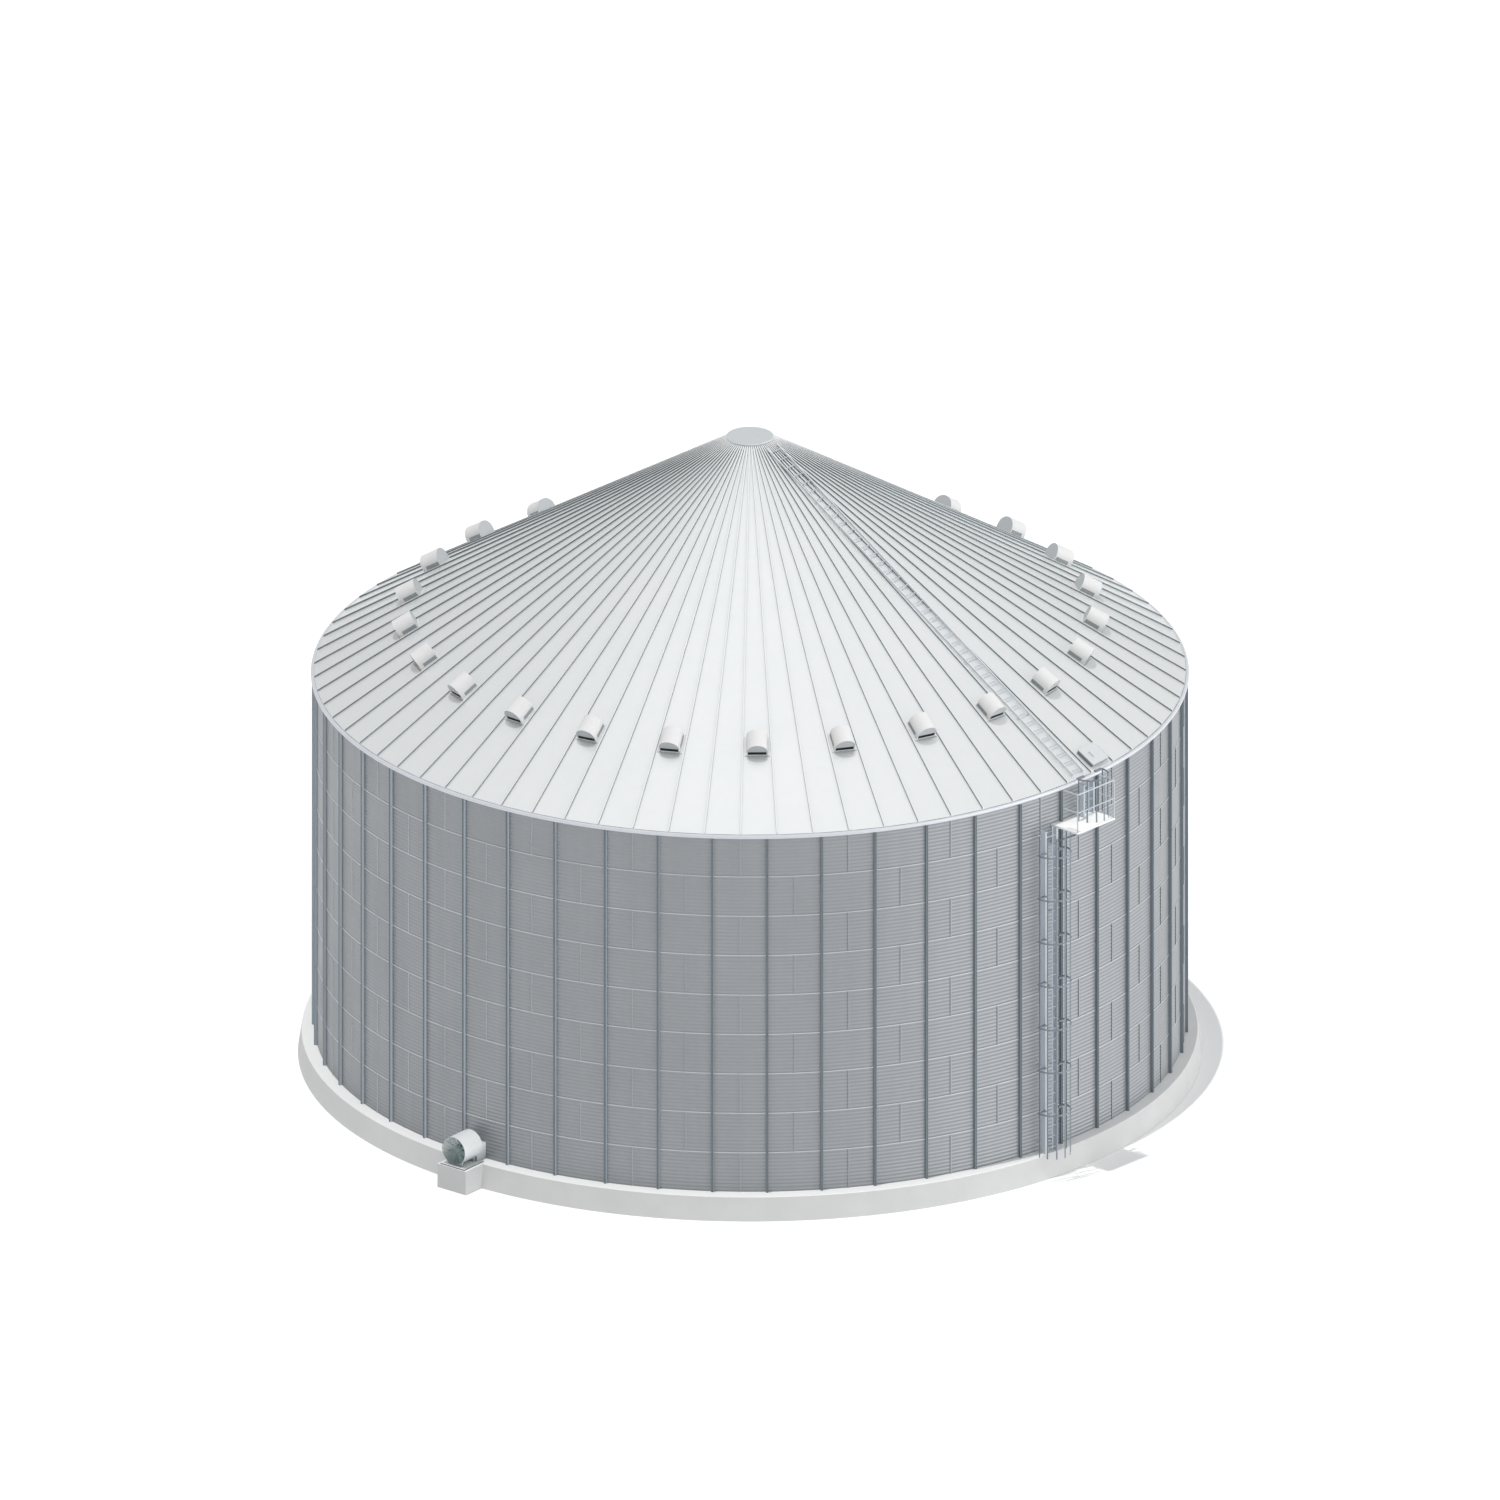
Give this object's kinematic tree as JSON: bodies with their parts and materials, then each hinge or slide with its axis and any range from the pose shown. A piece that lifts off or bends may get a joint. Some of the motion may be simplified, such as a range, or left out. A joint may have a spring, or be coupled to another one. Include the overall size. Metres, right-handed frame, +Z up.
{
  "type": "grain silo",
  "caption": "Round flat-bottomed corrugated steel grain silo on a concrete ring, with a ribbed cone roof, roof vents, a hinged roof hatch, caged ladders, a platform and an aeration fan.",
  "frame": {"origin": "on the ground at the middle of the silo", "axes": "+Z up; -Y is the side the picture looks at, with the fan to its left at -X and the ladders to its right at +X"},
  "size_m": [23.752, 23.752, 17.472],
  "materials": {
    "concrete": "matt cast concrete",
    "wall_steel": "galvanised corrugated sheet",
    "roof_steel": "bright galvanised sheet",
    "rail_steel": "hot-dip galvanised bar",
    "deck_steel": "white painted plate",
    "fan_steel": "galvanised sheet",
    "dark_steel": "dark grey paint",
    "blade_alloy": "cast alloy, grey green"
  },
  "bodies": {
    "silo": {"foundation_ring": "concrete", "floor_slab": "concrete", "wall_segment_1": "wall_steel", "wall_segment_2": "wall_steel", "wall_segment_3": "wall_steel", "wall_segment_4": "wall_steel", "wall_segment_5": "wall_steel", "duct_wall_sheet": "wall_steel", "eave_ring": "roof_steel", "roof_sector_1": "roof_steel", "roof_sector_2": "roof_steel", "roof_sector_3": "roof_steel", "roof_sector_4": "roof_steel", "roof_sector_5": "roof_steel", "roof_sector_6": "roof_steel", "hatch_panel": "roof_steel", "peak_cap": "roof_steel", "roof_vent_01": "roof_steel", "roof_vent_02": "roof_steel", "roof_vent_03": "roof_steel", "roof_vent_04": "roof_steel", "roof_vent_05": "roof_steel", "roof_vent_06": "roof_steel", "roof_vent_07": "roof_steel", "roof_vent_08": "roof_steel", "roof_vent_09": "roof_steel", "roof_vent_10": "roof_steel", "roof_vent_11": "roof_steel", "roof_vent_12": "roof_steel", "roof_vent_13": "roof_steel", "roof_vent_14": "roof_steel", "roof_vent_15": "roof_steel", "roof_vent_16": "roof_steel", "roof_vent_17": "roof_steel", "roof_vent_18": "roof_steel", "roof_vent_19": "roof_steel", "roof_vent_20": "roof_steel", "roof_vent_21": "roof_steel", "roof_vent_22": "roof_steel", "roof_vent_23": "roof_steel", "roof_vent_24": "roof_steel", "roof_vent_25": "roof_steel", "hatch_curb": "roof_steel", "roof_ladder": "rail_steel", "wall_ladder": "rail_steel", "ladder_cage": "rail_steel", "platform_deck": "deck_steel", "platform_railing": "rail_steel", "upper_ladder": "rail_steel", "upper_cage": "rail_steel", "fan_pad": "concrete", "fan_base": "dark_steel", "fan_housing": "fan_steel", "fan_motor": "dark_steel", "fan_guard": "dark_steel", "fan_duct": "fan_steel"},
    "hatch_lid": {"hatch_lid": "roof_steel"},
    "impeller": {"fan_impeller": "blade_alloy"}
  },
  "joints": [
    {"name": "hatch_hinge", "type": "hinge", "parent": "silo", "child": "hatch_lid", "pos_m": [9.2235, -6.2734, 11.1077], "axis": [-0.6918, 0.5032, 0.518], "range_deg": [0, 100]},
    {"name": "impeller_spin", "type": "hinge", "parent": "silo", "child": "impeller", "pos_m": [-7.6759, -9.5469, 1.11], "axis": [-0.6266, -0.7793, 0], "continuous": true}
  ]
}
